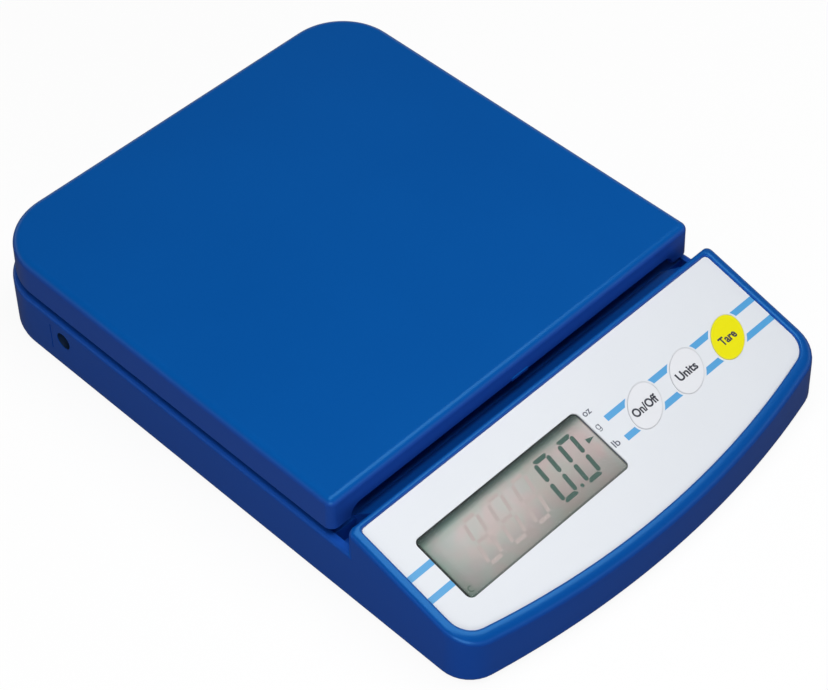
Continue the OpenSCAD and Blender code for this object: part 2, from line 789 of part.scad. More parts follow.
module platform_ribs() {
    pitch = 2 * spider_reach / (rib_count - 1);
    for (k = [0:rib_count - 1]) {
        at = -spider_reach + k * pitch;
        translate([at - rib_t / 2, pan_front + skirt_t / 2, pan_under - rib_h])
            cube([rib_t, platform_d - skirt_t, rib_h + eps]);
        translate([-pan_half + skirt_t / 2, pan_mid + at - rib_t / 2, pan_under - rib_h])
            cube([2 * pan_half - skirt_t, rib_t, rib_h + eps]);
    }
}

/* corner left standing so that the raised skirt ends in a curve */
module skirt_corner() {
    rotate([-90, 0, 0]) linear_extrude(3 * skirt_t) difference() {
        square([skirt_cut_h + 1, skirt_cut_h]);
        translate([0, skirt_cut_h]) circle(skirt_cut_h);
    }
}

module platform() {
    cut_top = skirt_z + skirt_cut_h;
    color([0.02, 0.32, 0.64]) {
        difference() {
            union() {
                difference() {
                    platform_shape();
                    platform_room();
                }
                platform_ribs();
                for (p = stop_points) translate([p[0], p[1], spider_top])
                    cylinder(r = pan_boss_r, h = pan_under - spider_top + eps);
            }
            for (p = stop_points) translate([p[0], p[1], skirt_z - 1])
                cylinder(r = pan_screw_r + pilot, h = spider_top - skirt_z + 1 + pan_screw_bite);
            difference() {
                translate([-skirt_cut_w / 2, pan_front - 1, skirt_z - 1])
                    cube([skirt_cut_w, skirt_t + 2, 1 + skirt_cut_h]);
                for (s = [0, 1]) mirror([s, 0, 0])
                    translate([skirt_cut_w / 2 - skirt_cut_h, pan_front - skirt_t, cut_top]) skirt_corner();
            }
        }
        translate([-gate_w / 2, pan_front - gate_out, cut_top])
            cube([gate_w, gate_out + skirt_t / 2, gate_h]);
    }
}

/* plan of the label inside the rim */
module label_plan() {
    inset = rim_w + label_gap;
    back = console_rear - rim_rear - label_gap;
    w = half_w - inset;
    intersection() {
        translate([0, rim_front - rim_w]) plan(inset);
        union() {
            translate([-w, front_y]) square([2 * w, back - label_r - front_y]);
            translate([-w + label_r, back - 2 * label_r]) square([2 * (w - label_r), 2 * label_r]);
            for (s = [-1, 1]) translate([s * (w - label_r), back - label_r]) circle(label_r);
        }
    }
}

module label() {
    color([0.9, 0.91, 0.92]) intersection() {
        difference() {
            translate([0, 0, base_z]) linear_extrude(panel_z) label_plan();
            in_panel(-label_t - 1, 1) display_outline(0);
            for (x = key_xs) in_panel(-label_t - 1, 1) translate([x, -key_v]) key_oval(key_margin);
        }
        on_panel(-half_w, body_d / 2, -label_t) cube([body_w, body_d, label_t]);
    }
}

/* clear window that fills the label's opening */
module display_window() {
    color([0.8, 0.88, 0.86, 0.35]) in_panel(-label_t, 0) display_outline(-window_gap);
}
module display_glass() {
    color([0.62, 0.62, 0.58]) in_panel(glass_w, glass_w + glass_t) display_square(glass_margin);
}

/* frame between board and panel, with the collar that the glass stands on */
module display_frame() {
    color([0.12, 0.13, 0.13]) difference() {
        union() {
            in_panel(board_w, panel_low) display_square(frame_out);
            in_panel(board_w, glass_w) display_square(glass_margin);
        }
        in_panel(glass_w, 0) display_square(glass_margin + window_gap);
        in_panel(board_w - 1, 0) display_square(-frame_ledge);
    }
}
module contact_strips() {
    edge = frame_ledge + seat;
    color([0.85, 0.55, 0.5]) for (v = [display_v + edge, display_v + display_d - edge - strip_w])
        in_panel(board_w, glass_w)
            translate([-display_left + edge, -v - strip_w]) square([display_w - 2 * edge, strip_w]);
}

module main_board() {
    color([0.1, 0.42, 0.25]) difference() {
        in_panel(board_w - board_t, board_w)
            translate([-board_half_w, -board_front]) square([2 * board_half_w, board_front - board_rear]);
        for (p = board_posts) on_panel(p[0], p[1], board_w - board_t - 1)
            cylinder(r = board_screw_r + seat, h = board_t + 2, $fn = 24);
    }
}

/* block under the main board, placed by its rear left corner */
module under_board(x, v, size) {
    on_panel(x, v + size[1], board_w - board_t - size[2]) cube(size);
}
module board_chips() {
    color([0.1, 0.1, 0.11]) {
        under_board(chip_at[0], chip_at[1], chip_size);
        under_board(regulator_at[0], regulator_at[1], regulator_size);
    }
}
module board_sockets() {
    color([0.92, 0.9, 0.84]) for (x = socket_xs) under_board(x, socket_v, socket_size);
}
module board_screws() {
    jack_top = jack_board_z + jack_board_t;
    color([0.6, 0.6, 0.62]) {
        for (p = board_posts) on_panel(p[0], p[1], board_w - board_t)
            screw_up(board_screw_r, board_t + board_screw_bite, board_screw_head_r, board_screw_head_h);
        for (p = jack_posts) translate([p[0], p[1], jack_top]) mirror([0, 0, 1])
            screw_up(board_screw_r, jack_top - cover_z - seat, board_screw_head_r, board_screw_head_h);
    }
}

/* key cap with a flange that keeps it under the panel */
module key_cap(k, tint) {
    color(tint) {
        in_panel(key_low + flange_t - eps, key_proud) translate([key_xs[k], -key_v]) key_oval(0);
        in_panel(key_low, key_low + flange_t) translate([key_xs[k], -key_v]) key_oval(flange_out);
    }
}
module key_plunger(k) {
    color([0.15, 0.15, 0.15]) on_panel(key_xs[k], key_v, plunger_low)
        cylinder(r = plunger_r, h = key_low - plunger_low, $fn = 32);
}
module key_switches() {
    color([0.2, 0.2, 0.21]) for (x = key_xs) on_panel(x, key_v, board_w) difference() {
        translate([-switch_size / 2, -switch_size / 2, 0]) cube([switch_size, switch_size, switch_h]);
        translate([0, 0, switch_h - plunger_in - key_travel - seat])
            cylinder(r = plunger_r + 0.1, h = switch_h, $fn = 32);
    }
}

module power_jack() {
    color([0.09, 0.09, 0.1]) difference() {
        translate([jack_front, jack_y - jack_body_w / 2, jack_board_z + jack_board_t])
            cube([jack_len, jack_body_w, jack_body_low + jack_bore_r + jack_wall]);
        translate([jack_front - 1, jack_y, jack_z]) rotate([0, 90, 0])
            cylinder(r = jack_bore_r, h = jack_depth + 1);
    }
}
module jack_centre_pin() {
    color([0.85, 0.83, 0.75]) translate([jack_front + seat, jack_y, jack_z]) rotate([0, 90, 0])
        cylinder(d = jack_pin, h = jack_depth - seat);
}
module jack_board() {
    color([0.1, 0.42, 0.25]) difference() {
        translate([jack_front + seat, jack_y - jack_board_w / 2, jack_board_z])
            cube([jack_board_d, jack_board_w, jack_board_t]);
        for (p = jack_posts) translate([p[0], p[1], jack_board_z - 1])
            cylinder(r = board_screw_r + seat, h = jack_board_t + 2, $fn = 24);
    }
}

housing();
bottom_cover();
battery_door();
battery(-1);  // battery_left
battery(0);  // battery_middle
battery(1);  // battery_right
battery_contacts();
feet();
housing_screws();
weighing_cell();
cell_base_screws();
strain_gauges();
cell_spacer();
cell_top_screws();
spider();
platform_screws();
platform();
label();
display_window();
display_glass();
display_frame();
contact_strips();
main_board();
board_chips();
board_sockets();
board_screws();
key_cap(0, [0.9, 0.91, 0.93]);  // key_on_off
key_cap(1, [0.9, 0.91, 0.93]);  // key_units
key_cap(2, [0.93, 0.9, 0.08]);  // key_tare
key_plunger(0);  // plunger_on_off
key_plunger(1);  // plunger_units
key_plunger(2);  // plunger_tare
key_switches();
power_jack();
jack_centre_pin();
jack_board();
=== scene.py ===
"""Looks of the compact weighing balance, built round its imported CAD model."""
import math

import bmesh
import bpy
from mathutils import Euler, Matrix, Vector


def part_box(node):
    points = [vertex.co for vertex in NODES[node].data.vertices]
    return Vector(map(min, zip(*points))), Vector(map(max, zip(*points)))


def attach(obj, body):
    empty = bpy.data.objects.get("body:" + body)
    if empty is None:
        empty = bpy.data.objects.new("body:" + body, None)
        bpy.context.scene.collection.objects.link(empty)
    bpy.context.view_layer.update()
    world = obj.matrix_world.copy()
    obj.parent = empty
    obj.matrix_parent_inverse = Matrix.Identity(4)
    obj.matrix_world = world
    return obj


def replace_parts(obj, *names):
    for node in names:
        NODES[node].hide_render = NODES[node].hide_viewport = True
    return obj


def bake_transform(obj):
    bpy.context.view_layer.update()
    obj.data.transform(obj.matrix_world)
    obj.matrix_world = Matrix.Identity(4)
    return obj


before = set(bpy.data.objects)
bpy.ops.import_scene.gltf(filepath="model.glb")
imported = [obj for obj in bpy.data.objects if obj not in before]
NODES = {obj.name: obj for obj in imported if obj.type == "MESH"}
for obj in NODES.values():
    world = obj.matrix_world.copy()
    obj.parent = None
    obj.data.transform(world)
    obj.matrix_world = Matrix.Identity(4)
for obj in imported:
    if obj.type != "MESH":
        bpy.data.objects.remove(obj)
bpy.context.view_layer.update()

MM = 0.001

# All sizes below are in millimetres, unless they say otherwise.
# The label plane: x to the right, v down the slope from the label's rear edge, w out of the face.
SLOPE = math.radians(15.2)
PANEL_ORIGIN = Vector((0, -52.7, 29.1))
PANEL_DOWN = Vector((0, -math.cos(SLOPE), -math.sin(SLOPE)))
PANEL_OUT = Vector((0, -math.sin(SLOPE), math.cos(SLOPE)))

# Keys on the label: body, middle along x, word, middle of the word along x, and the word's width.
KEY_V = 23.3
KEY_LEAN = math.radians(40)
KEY_LENGTH = 15.4
KEY_WIDTH = 10.2
KEY_PROUD = 0.1
KEYS = [
    ("on_off", 19.0, "On/Off", 18.85, 9.9),
    ("units", 37.25, "Units", 37.05, 8.0),
    ("tare", 55.5, "Tare", 55.25, 6.4),
]
WORD_HEIGHT, WORD_BOLD = 2.75, 0.03
LIP_OUT, LIP_WIDTH, LIP_LOW, LIP_HIGH = 0.21, 0.16, -0.45, 0.37

# Print: how thick the ink is drawn, and how soft its edges are. The blue bands, by v and by x.
INK = 0.03
PRINT_EDGE = 0.06
BANDS = ((18.1, 20.1), (26.1, 28.1))
BANDS_LEFT, BANDS_RIGHT = (-80, -60), (6.87, 80)
BAND_CLEARANCE = 0.75
UNIT_MARKS = [
    ("oz", "mark_oz", 3.9, 13.9, 2.9),
    ("lb", "mark_lb", 3.4, 26.2, 2.3),
]
MARK_HEIGHT, MARK_BOLD = 2.3, 0.012
G_PEN = 0.13

# The display: the face of its glass, the window's reach along v and x, and the rows and strokes of its
# figures. The unlit bars are given by their reach along v.
GLASS_TOP = -0.9
WINDOW_V, WINDOW_X = (11.0, 35.0), (-64.0, 3.0)
ROW_TOP, ROW_MIDDLE, ROW_LOW = 15.9, 22.8, 29.55
SEGMENT_HALF, SEGMENT_GAP, SEGMENT_REACH = 0.72, 0.12, 0.2
BLUNT, TAPER, BAR_INSET = 0.35, 0.65, 0.35
ZERO_WIDTH = 4.95
POINT_RADIUS = 0.62
UNLIT_HALF, UNLIT_LEAN, UNLIT_WIDTH, UNLIT_INSET = 0.6, 0.2, 5.0, 0.5
UNLIT_BARS = ((16.2, 22.4), (23.1, 29.3))

# Screws: the round of the head's rim, the tip's length and taper, and their recesses.
HEAD_ROUND, TIP_LENGTH, TIP_TAPER = 0.35, 0.8, 0.45
CROSS_SLOTS = ((3.0, 0.62, 2.2), (0.62, 3.0, 2.2))
HEXAGON_RADIUS, HEXAGON_DEPTH = 1.75, 3.4
COVER_SCREWS = [(side * x, y) for x, y in ((58, 86.0), (67.5, -39.1), (61.5, -91.69)) for side in (-1, 1)]
CELL_SCREWS = [(0, 59.75), (0, 66.75)]

# The weighing cell bends over this length to each side of its middle, in some steps.
CELL_BEND, CELL_STEPS = 12 * MM, 6
CELL_LOW, CELL_HIGH = (corner[1] * 1000 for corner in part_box("battery_left"))

# The backdrop's share in gloss, and its glow to the camera.
BACKDROP_IN_GLOSS, FLOOR_GLOW = 0.04, 0.92


# --- materials ---------------------------------------------------------------------------------

def linear(code):
    """An sRGB hex value as a linear colour with alpha."""
    parts = [int(code[i:i + 2], 16) / 255 for i in (1, 3, 5)]
    return [p / 12.92 if p <= 0.04045 else ((p + 0.055) / 1.055) ** 2.4 for p in parts] + [1.0]


def add(tree, kind, links=None, inputs=None, **settings):
    """Adds a node with its properties, the values of its inputs, and links to its inputs."""
    node = tree.nodes.new("ShaderNode" + kind)
    for name, value in settings.items():
        setattr(node, name, value)
    for name, value in (inputs or {}).items():
        node.inputs[name].default_value = value
    for name, socket in (links or {}).items():
        tree.links.new(socket, node.inputs[name])
    return node


def new_material(name, roughness=0.5, metallic=0.0, ior=1.5, specular=0.5):
    """A material with one Principled shader; constants sit on the shader's own sockets."""
    material = bpy.data.materials.new(name)
    material.use_nodes = True
    tree = material.node_tree
    tree.nodes.clear()
    shader = add(tree, "BsdfPrincipled", inputs={
        "Roughness": roughness, "Metallic": metallic, "IOR": ior, "Specular IOR Level": specular})
    add(tree, "OutputMaterial", {"Surface": shader.outputs["BSDF"]})
    return material, tree, shader


def millimetres(tree):
    """Object coordinates counted in millimetres."""
    place = add(tree, "TexCoord").outputs["Object"]
    return add(tree, "VectorMath", {0: place}, operation="SCALE", inputs={"Scale": 1000}).outputs["Vector"]


def cloudy_colour(tree, place, size, low, high):
    """A colour that wanders between two others, in clouds of some size."""
    cloud = add(tree, "TexNoise", {"Vector": place}, inputs={"Scale": 1 / size, "Detail": 2.0})
    return add(tree, "Mix", {0: cloud.outputs["Fac"]}, data_type="RGBA",
               inputs={6: linear(low), 7: linear(high)}).outputs[2]


def grain_bump(tree, shader, place, size, depth):
    """Fine relief left by a textured mould. Real mould grain is about 0.1 mm wide, too fine to show,
    so it is drawn at 0.35 mm and up."""
    noise = add(tree, "TexNoise", {"Vector": place},
                inputs={"Scale": 1 / size, "Detail": 2.0, "Roughness": 0.55})
    bump = add(tree, "Bump", {"Height": noise.outputs["Fac"]},
               inputs={"Strength": 1.0, "Distance": depth * MM})
    tree.links.new(bump.outputs["Normal"], shader.inputs["Normal"])
    return noise.outputs["Fac"]


def painted_wall_shade_share(tree, place):
    """Where shade is painted: one on upright walls and down in the groove behind the console, and nought on
    level faces.
    """
    normal = add(tree, "NewGeometry").outputs["True Normal"]
    upward = add(tree, "SeparateXYZ", {0: normal}).outputs["Z"]
    walls = add(tree, "MapRange", {"Value": upward}, interpolation_type="SMOOTHSTEP",
                inputs={"From Min": 0.90, "From Max": 0.35})
    where = add(tree, "SeparateXYZ", {0: place})
    sunk = add(tree, "MapRange", {"Value": where.outputs["Z"]},
               inputs={"From Min": 24.0, "From Max": 22.0})
    behind = add(tree, "MapRange", {"Value": where.outputs["Y"]},
                 inputs={"From Min": -51.5, "From Max": -50.5})
    groove = add(tree, "Math", {0: sunk.outputs["Result"], 1: behind.outputs["Result"]},
                 operation="MULTIPLY")
    return add(tree, "Math", {0: walls.outputs["Result"], 1: groove.outputs[0]},
               operation="MAXIMUM").outputs[0]


def moulded_plastic(name, low, high, roughness, grain, depth, specular=0.5, tint="#FFFFFF", painted_wall_shade=None):
    """Injection moulded plastic: fine grain, a slight cloudiness about 45 mm wide where the melt cooled
    unevenly, and if asked painted shade: a duller tone on upright walls and in the groove behind the console."""
    material, tree, shader = new_material(name, roughness=roughness, ior=1.53, specular=specular)
    shader.inputs["Specular Tint"].default_value = linear(tint)
    place = millimetres(tree)
    cloud = add(tree, "TexNoise", {"Vector": place}, inputs={"Scale": 1 / 45, "Detail": 3.0})
    speck = grain_bump(tree, shader, place, grain, depth)
    both = add(tree, "Math", {0: cloud.outputs["Fac"], 1: speck}, operation="ADD")
    share = add(tree, "MapRange", {"Value": both.outputs["Value"]}, inputs={"From Min": 0.7, "From Max": 1.3})
    colour = add(tree, "Mix", {0: share.outputs["Result"]}, data_type="RGBA",
                 inputs={6: linear(low), 7: linear(high)})
    # Painted shade: upright walls and the groove behind the console take a duller blue.
    if painted_wall_shade:
        colour = add(tree, "Mix", {0: painted_wall_shade_share(tree, place), 6: colour.outputs[2]}, data_type="RGBA",
                     inputs={7: linear(painted_wall_shade)})
    tree.links.new(colour.outputs[2], shader.inputs["Base Color"])
    return material


def machined_metal(name, low, high, roughness, grain, stretch=(1, 1, 1)):
    """Metal with fine marks from its making, drawn out along the direction of work. Real marks are a few
    hundredths of a millimetre wide, and are drawn about ten times coarser so that they show."""
    material, tree, shader = new_material(name, roughness=roughness, metallic=1.0)
    place = add(tree, "Mapping", {"Vector": millimetres(tree)}, inputs={"Scale": stretch}).outputs["Vector"]
    marks = add(tree, "TexNoise", {"Vector": place}, inputs={"Scale": 1 / grain, "Detail": 3.0})
    colour = add(tree, "Mix", {0: marks.outputs["Fac"]}, data_type="RGBA",
                 inputs={6: linear(low), 7: linear(high)})
    tree.links.new(colour.outputs[2], shader.inputs["Base Color"])
    bump = add(tree, "Bump", {"Height": marks.outputs["Fac"]}, inputs={"Distance": 0.01 * MM})
    tree.links.new(bump.outputs["Normal"], shader.inputs["Normal"])
    return material


def panel_place(tree):
    """The place in millimetres, and its x and v on the label plane."""
    place = millimetres(tree)
    x = add(tree, "SeparateXYZ", {0: place}).outputs["X"]
    away = add(tree, "VectorMath", {0: place}, operation="SUBTRACT", inputs={1: PANEL_ORIGIN})
    v = add(tree, "VectorMath", {0: away.outputs["Vector"]}, operation="DOT_PRODUCT", inputs={1: PANEL_DOWN})
    return place, x, v.outputs["Value"]


def between(tree, value, low, high):
    """One where a value lies between low and high, with a soft printed edge."""
    up = add(tree, "MapRange", {"Value": value},
             inputs={"From Min": low - PRINT_EDGE, "From Max": low + PRINT_EDGE})
    down = add(tree, "MapRange", {"Value": value},
               inputs={"From Min": high + PRINT_EDGE, "From Max": high - PRINT_EDGE})
    return add(tree, "Math", {0: up.outputs["Result"], 1: down.outputs["Result"]},
               operation="MULTIPLY").outputs[0]


def oval_distance(tree, x, v, middle, grow):
    """Distance from a key's middle, counted so that it is one on the oval grown by some millimetres."""
    flat = add(tree, "CombineXYZ", {"X": x, "Y": v})
    turned = add(tree, "Mapping", {"Vector": flat.outputs["Vector"]}, vector_type="TEXTURE", inputs={
        "Location": (middle, KEY_V, 0),
        "Rotation": (0, 0, -KEY_LEAN),
        "Scale": (KEY_LENGTH / 2 + grow, KEY_WIDTH / 2 + grow, 1),
    })
    return add(tree, "VectorMath", {0: turned.outputs["Vector"]}, operation="LENGTH").outputs["Value"]


def label_material():
    """Printed polycarbonate film: pale cool grey with a soft gloss, and two light blue bands that stop
    short of the display and the keys."""
    material, tree, shader = new_material("printed_polycarbonate_film", roughness=0.38, ior=1.58,
                                          specular=0.3)
    place, x, v = panel_place(tree)
    rows = [between(tree, v, *band) for band in BANDS]
    sides = [between(tree, x, *side) for side in (BANDS_LEFT, BANDS_RIGHT)]
    rows, sides = (add(tree, "Math", {0: a, 1: b}, operation="ADD").outputs[0] for a, b in (rows, sides))
    band = add(tree, "Math", {0: rows, 1: sides}, operation="MULTIPLY").outputs[0]
    for _, middle, _, _, _ in KEYS:
        away = oval_distance(tree, x, v, middle, BAND_CLEARANCE)
        clear = add(tree, "MapRange", {"Value": away}, inputs={"From Min": 0.99, "From Max": 1.01})
        band = add(tree, "Math", {0: band, 1: clear.outputs["Result"]}, operation="MULTIPLY").outputs[0]
    paper = cloudy_colour(tree, place, 30, "#E1E5EB", "#DDE1E7")
    printed = add(tree, "Mix", {0: band, 6: paper}, data_type="RGBA", inputs={7: linear("#4A9FD8")})
    tree.links.new(printed.outputs[2], shader.inputs["Base Color"])
    grain_bump(tree, shader, place, 0.35, 0.0015)
    return material


def key_material(name, face, edge, middle):
    """Moulded key cap in a satin finish: an even, opaque face, with a thin line printed round its edge."""
    material, tree, shader = new_material(name, roughness=0.42, specular=0.12)
    place, x, v = panel_place(tree)
    away = oval_distance(tree, x, v, middle, 0)
    line = add(tree, "MapRange", {"Value": away}, inputs={"From Min": 0.955, "From Max": 0.985})
    colour = add(tree, "Mix", {0: line.outputs["Result"]}, data_type="RGBA",
                 inputs={6: linear(face), 7: linear(edge)})
    tree.links.new(colour.outputs[2], shader.inputs["Base Color"])
    grain_bump(tree, shader, place, 0.4, 0.0015)
    return material


def painted_shade_along(tree, value, reach, stops):
    """The display's colour along one direction, given at shares of the window's reach; its dark stops are
    painted shade.
    """
    share = add(tree, "MapRange", {"Value": value}, inputs={"From Min": reach[0], "From Max": reach[1]})
    shade = add(tree, "ValToRGB", {"Fac": share.outputs["Result"]})
    elements = shade.color_ramp.elements
    while len(elements) < len(stops):
        elements.new(0.5)
    for element, (at, code) in zip(elements, stops):
        element.position = at
        element.color = linear(code)
    return shade.outputs["Color"]


def display_material():
    """Reflective liquid crystal glass: warm grey that grows darker towards the front, with a painted dark
    green shadow of the window's edge along its rear and left edges, thin painted lines of shade at its front
    and right edges, and blotches of green and pink about 5 mm wide, as its polariser gives."""
    material, tree, shader = new_material("reflective_display_glass", roughness=0.3, specular=0.06)
    place, x, v = panel_place(tree)
    # Down the slope: a painted shadow of the window's rear edge, a slow darkening towards the front, and a
    # thin painted line of shade at the front edge.
    down = painted_shade_along(tree, v, WINDOW_V, [
        (0.0, "#151C1B"), (0.036, "#232D2B"), (0.054, "#354846"), (0.085, "#55645F"), (0.104, "#6E7B77"),
        (0.135, "#97A09A"), (0.167, "#B7B6B1"), (0.25, "#CCC4C2"), (0.375, "#C8C3C0"), (0.542, "#C2BBB7"),
        (0.708, "#B1ADAA"), (0.875, "#A09F9A"), (0.918, "#9A9B96"), (0.925, "#707673")])
    # Across: thin painted lines of shade at the window's left and right edges.
    across = painted_shade_along(tree, x, WINDOW_X, [
        (0.0, "#2A3634"), (0.031, "#2A3634"), (0.036, "#A6C4BC"), (0.045, "#BDD5CF"), (0.09, "#E2ECEC"),
        (0.179, "#F8FFFF"), (0.269, "#FFFFFF"), (0.448, "#FFFFFF"), (0.537, "#F7F7F8"), (0.612, "#ECEEEB"),
        (0.80, "#F0EEEE"), (0.933, "#F7F0F2"), (0.970, "#F8FCFC"), (0.975, "#8E9092")])
    blotch = add(tree, "TexNoise", {"Vector": place}, inputs={"Scale": 1 / 5.5, "Detail": 1.0})
    hue = add(tree, "MapRange", {"Value": blotch.outputs["Fac"]}, inputs={"From Min": 0.35, "From Max": 0.65})
    polariser = add(tree, "Mix", {0: hue.outputs["Result"]}, data_type="RGBA",
                    inputs={6: linear("#F3F9F7"), 7: linear("#FFF4F5")})
    colour = down
    for layer in (across, polariser.outputs[2]):
        colour = add(tree, "Mix", {6: colour, 7: layer}, data_type="RGBA", blend_type="MULTIPLY",
                     inputs={0: 1.0}).outputs[2]
    tree.links.new(colour, shader.inputs["Base Color"])
    return material


def window_material():
    """Clear polycarbonate film over the display: seen only by its faint gloss."""
    material, tree, shader = new_material("clear_polycarbonate_window", roughness=0.08)
    colour = cloudy_colour(tree, millimetres(tree), 12, "#87918D", "#929C98")
    tree.links.new(colour, shader.inputs["Base Color"])
    shader.inputs["Alpha"].default_value = 0.03
    return material


def ink_material(name, low, high):
    """Screen printed ink: flat and dull, a little uneven in its cover."""
    material, tree, shader = new_material(name, specular=0.06)
    colour = cloudy_colour(tree, millimetres(tree), 0.5, low, high)
    tree.links.new(colour, shader.inputs["Base Color"])
    return material


def cell_material():
    """Dry cell: a dark glossy jacket with a gold band, shrunk round a plated can that shows bare at both
    ends."""
    material, tree, shader = new_material("shrink_wrapped_dry_cell", roughness=0.3)
    place = millimetres(tree)
    along = add(tree, "SeparateXYZ", {0: place}).outputs["Y"]
    jacket = between(tree, along, CELL_LOW + 1.9, CELL_HIGH - 1.9)
    band = between(tree, along, CELL_LOW + 9.0, CELL_LOW + 16.0)
    dark = cloudy_colour(tree, place, 2.0, "#2F3235", "#3A3E42")
    printed = add(tree, "Mix", {0: band, 6: dark}, data_type="RGBA", inputs={7: linear("#B98A2E")})
    colour = add(tree, "Mix", {0: jacket, 7: printed.outputs[2]}, data_type="RGBA",
                 inputs={6: linear("#D6D3CA")})
    bare = add(tree, "Math", {1: jacket}, operation="SUBTRACT", inputs={0: 1.0})
    tree.links.new(colour.outputs[2], shader.inputs["Base Color"])
    tree.links.new(bare.outputs[0], shader.inputs["Metallic"])
    return material


# Moulded ABS in a fine satin: a deep even blue with a light blue gleam along its rounded edges. Its walls and
# the groove behind the console get painted shade, a duller, slightly violet blue.
SHEEN = "#70C8FF"
HOUSING = moulded_plastic("moulded_abs_housing", "#044C9B", "#064F9F", 0.28, 0.5, 0.002,
                          specular=0.6, tint=SHEEN, painted_wall_shade="#1347A3")
PLATFORM = moulded_plastic("moulded_abs_platform", "#0251A0", "#0354A4", 0.28, 0.5, 0.002,
                           specular=0.42, tint=SHEEN, painted_wall_shade="#1D49A3")
# Moulded ABS from an eroded mould: the same blue gone matte, for the underside.
COVER = moulded_plastic("moulded_abs_cover", "#0A4890", "#0D4E98", 0.5, 0.6, 0.006, specular=0.3, tint=SHEEN)
# Moulded nylon deep in a hole: its blue-black colour is painted shade, the hole's shade tinted by the blue
# round it.
COLLAR_PAINTED_SHADE = moulded_plastic("nylon_collar_painted_shade", "#142743", "#172B4A", 0.6, 0.4, 0.001, specular=0.1)
# Moulded black nylon: near black, with a broad soft gloss.
BLACK = moulded_plastic("moulded_black_nylon", "#18191A", "#222324", 0.5, 0.5, 0.004)
# Moulded natural nylon: milky off-white with a waxy gloss.
NYLON = moulded_plastic("natural_nylon_socket", "#E4DFCC", "#EDE9DA", 0.45, 0.5, 0.003)
# Moulded rubber: soft black with hardly any highlight.
RUBBER = moulded_plastic("moulded_black_rubber", "#161616", "#232323", 0.75, 0.4, 0.01, specular=0.3)
# Silicone brushed over the gauges: a pale wet-looking skin with low lumps.
SEALANT = moulded_plastic("silicone_gauge_sealant", "#E8E6DC", "#F2F0E8", 0.35, 1.5, 0.03)
# Moulded silicone contact strip: dusty pink and matte, its stripes too fine to tell apart.
ZEBRA = moulded_plastic("striped_contact_rubber", "#C98F86", "#D9A197", 0.6, 0.3, 0.004)
JACKET = cell_material()
# Solder mask cured over a glass fibre board: glossy dark green, a little uneven.
BOARD = moulded_plastic("solder_masked_board", "#0F5B36", "#146A40", 0.28, 0.8, 0.004)
# Rolled steel, nickel plated: bright, warm and nearly smooth.
NICKEL = machined_metal("nickel_plated_steel", "#D9D6CC", "#E6E3DA", 0.22, 0.4)
# Cold-headed steel, zinc plated: cooler and a little cloudier.
ZINC = machined_metal("zinc_plated_steel", "#B9BBBE", "#CDCFD2", 0.3, 0.3)
# Cold-headed steel, blackened in oil: dark with a dull gleam.
DARK_STEEL = machined_metal("blackened_steel", "#3A3A3C", "#4A4A4D", 0.4, 0.3)
# Milled aluminium: pale, with cutter marks drawn out along the bar.
ALUMINIUM = machined_metal("milled_aluminium", "#C6C8CC", "#D8DADD", 0.32, 0.25, (1, 0.08, 1))
LABEL = label_material()
WINDOW = window_material()
DISPLAY = display_material()
KEY_WHITE, KEY_YELLOW, KEY_LINE, YELLOW_LINE = "#E4E6EB", "#EBE404", "#D2D4DA", "#DCD84C"
KEY_FACES = {
    "on_off": key_material("satin_white_key_left", KEY_WHITE, KEY_LINE, KEYS[0][1]),
    "units": key_material("satin_white_key_middle", KEY_WHITE, KEY_LINE, KEYS[1][1]),
    "tare": key_material("satin_yellow_key", KEY_YELLOW, YELLOW_LINE, KEYS[2][1]),
}
# The cut edge of the label film, which shows as a pale ring round each key.
LIP = moulded_plastic("film_lip_round_key", "#D5D7DC", "#DCDEE3", 0.45, 0.4, 0.001, specular=0.2)
DARK_INK = ink_material("dark_grey_ink", "#3E4049", "#464852")
GREY_INK = ink_material("grey_ink", "#626674", "#6E7280")
# Liquid crystal between its glasses: switched on it is a dark green grey, switched off just a hint.
SEGMENT = ink_material("liquid_crystal_segment", "#455F58", "#4C675F")
FAINT_SEGMENT = ink_material("faint_liquid_crystal_segment", "#54645A", "#5C6C62")
UNLIT = ink_material("unlit_liquid_crystal_segment", "#B9ACA9", "#BDB0AD")

NODE_MATERIALS = {
    "housing": HOUSING, "platform": PLATFORM, "bottom_cover": COVER, "battery_door": COVER,
    "battery_left": JACKET, "battery_middle": JACKET, "battery_right": JACKET,
    "battery_contacts": NICKEL, "jack_centre_pin": NICKEL, "feet": RUBBER,
    "housing_screws": ZINC, "platform_screws": ZINC, "board_screws": ZINC,
    "cell_base_screws": DARK_STEEL, "cell_top_screws": DARK_STEEL,
    "weighing_cell": ALUMINIUM, "cell_spacer": ALUMINIUM, "spider": ALUMINIUM,
    "strain_gauges": SEALANT, "label": LABEL, "display_window": WINDOW, "display_glass": DISPLAY,
    "display_frame": BLACK, "contact_strips": ZEBRA, "main_board": BOARD, "jack_board": BOARD,
    "board_chips": BLACK, "board_sockets": NYLON, "key_switches": BLACK, "power_jack": BLACK,
    "plunger_on_off": BLACK, "plunger_units": BLACK, "plunger_tare": BLACK,
    "key_on_off": KEY_FACES["on_off"], "key_units": KEY_FACES["units"], "key_tare": KEY_FACES["tare"],
}
for name, material in NODE_MATERIALS.items():
    NODES[name].data.materials.clear()
    NODES[name].data.materials.append(material)


# --- modelling helpers --------------------------------------------------------------------------

def deselect():
    bpy.ops.object.select_all(action="DESELECT")


def pick(obj):
    """Makes this object the only one that operators act on."""
    deselect()
    obj.select_set(True)
    bpy.context.view_layer.objects.active = obj


def apply_modifier(obj, kind, **settings):
    """Adds a modifier with its settings, and applies it."""
    pick(obj)
    modifier = obj.modifiers.new(kind.lower(), kind)
    for name, value in settings.items():
        setattr(modifier, name, value)
    bpy.ops.object.modifier_apply(modifier=modifier.name)


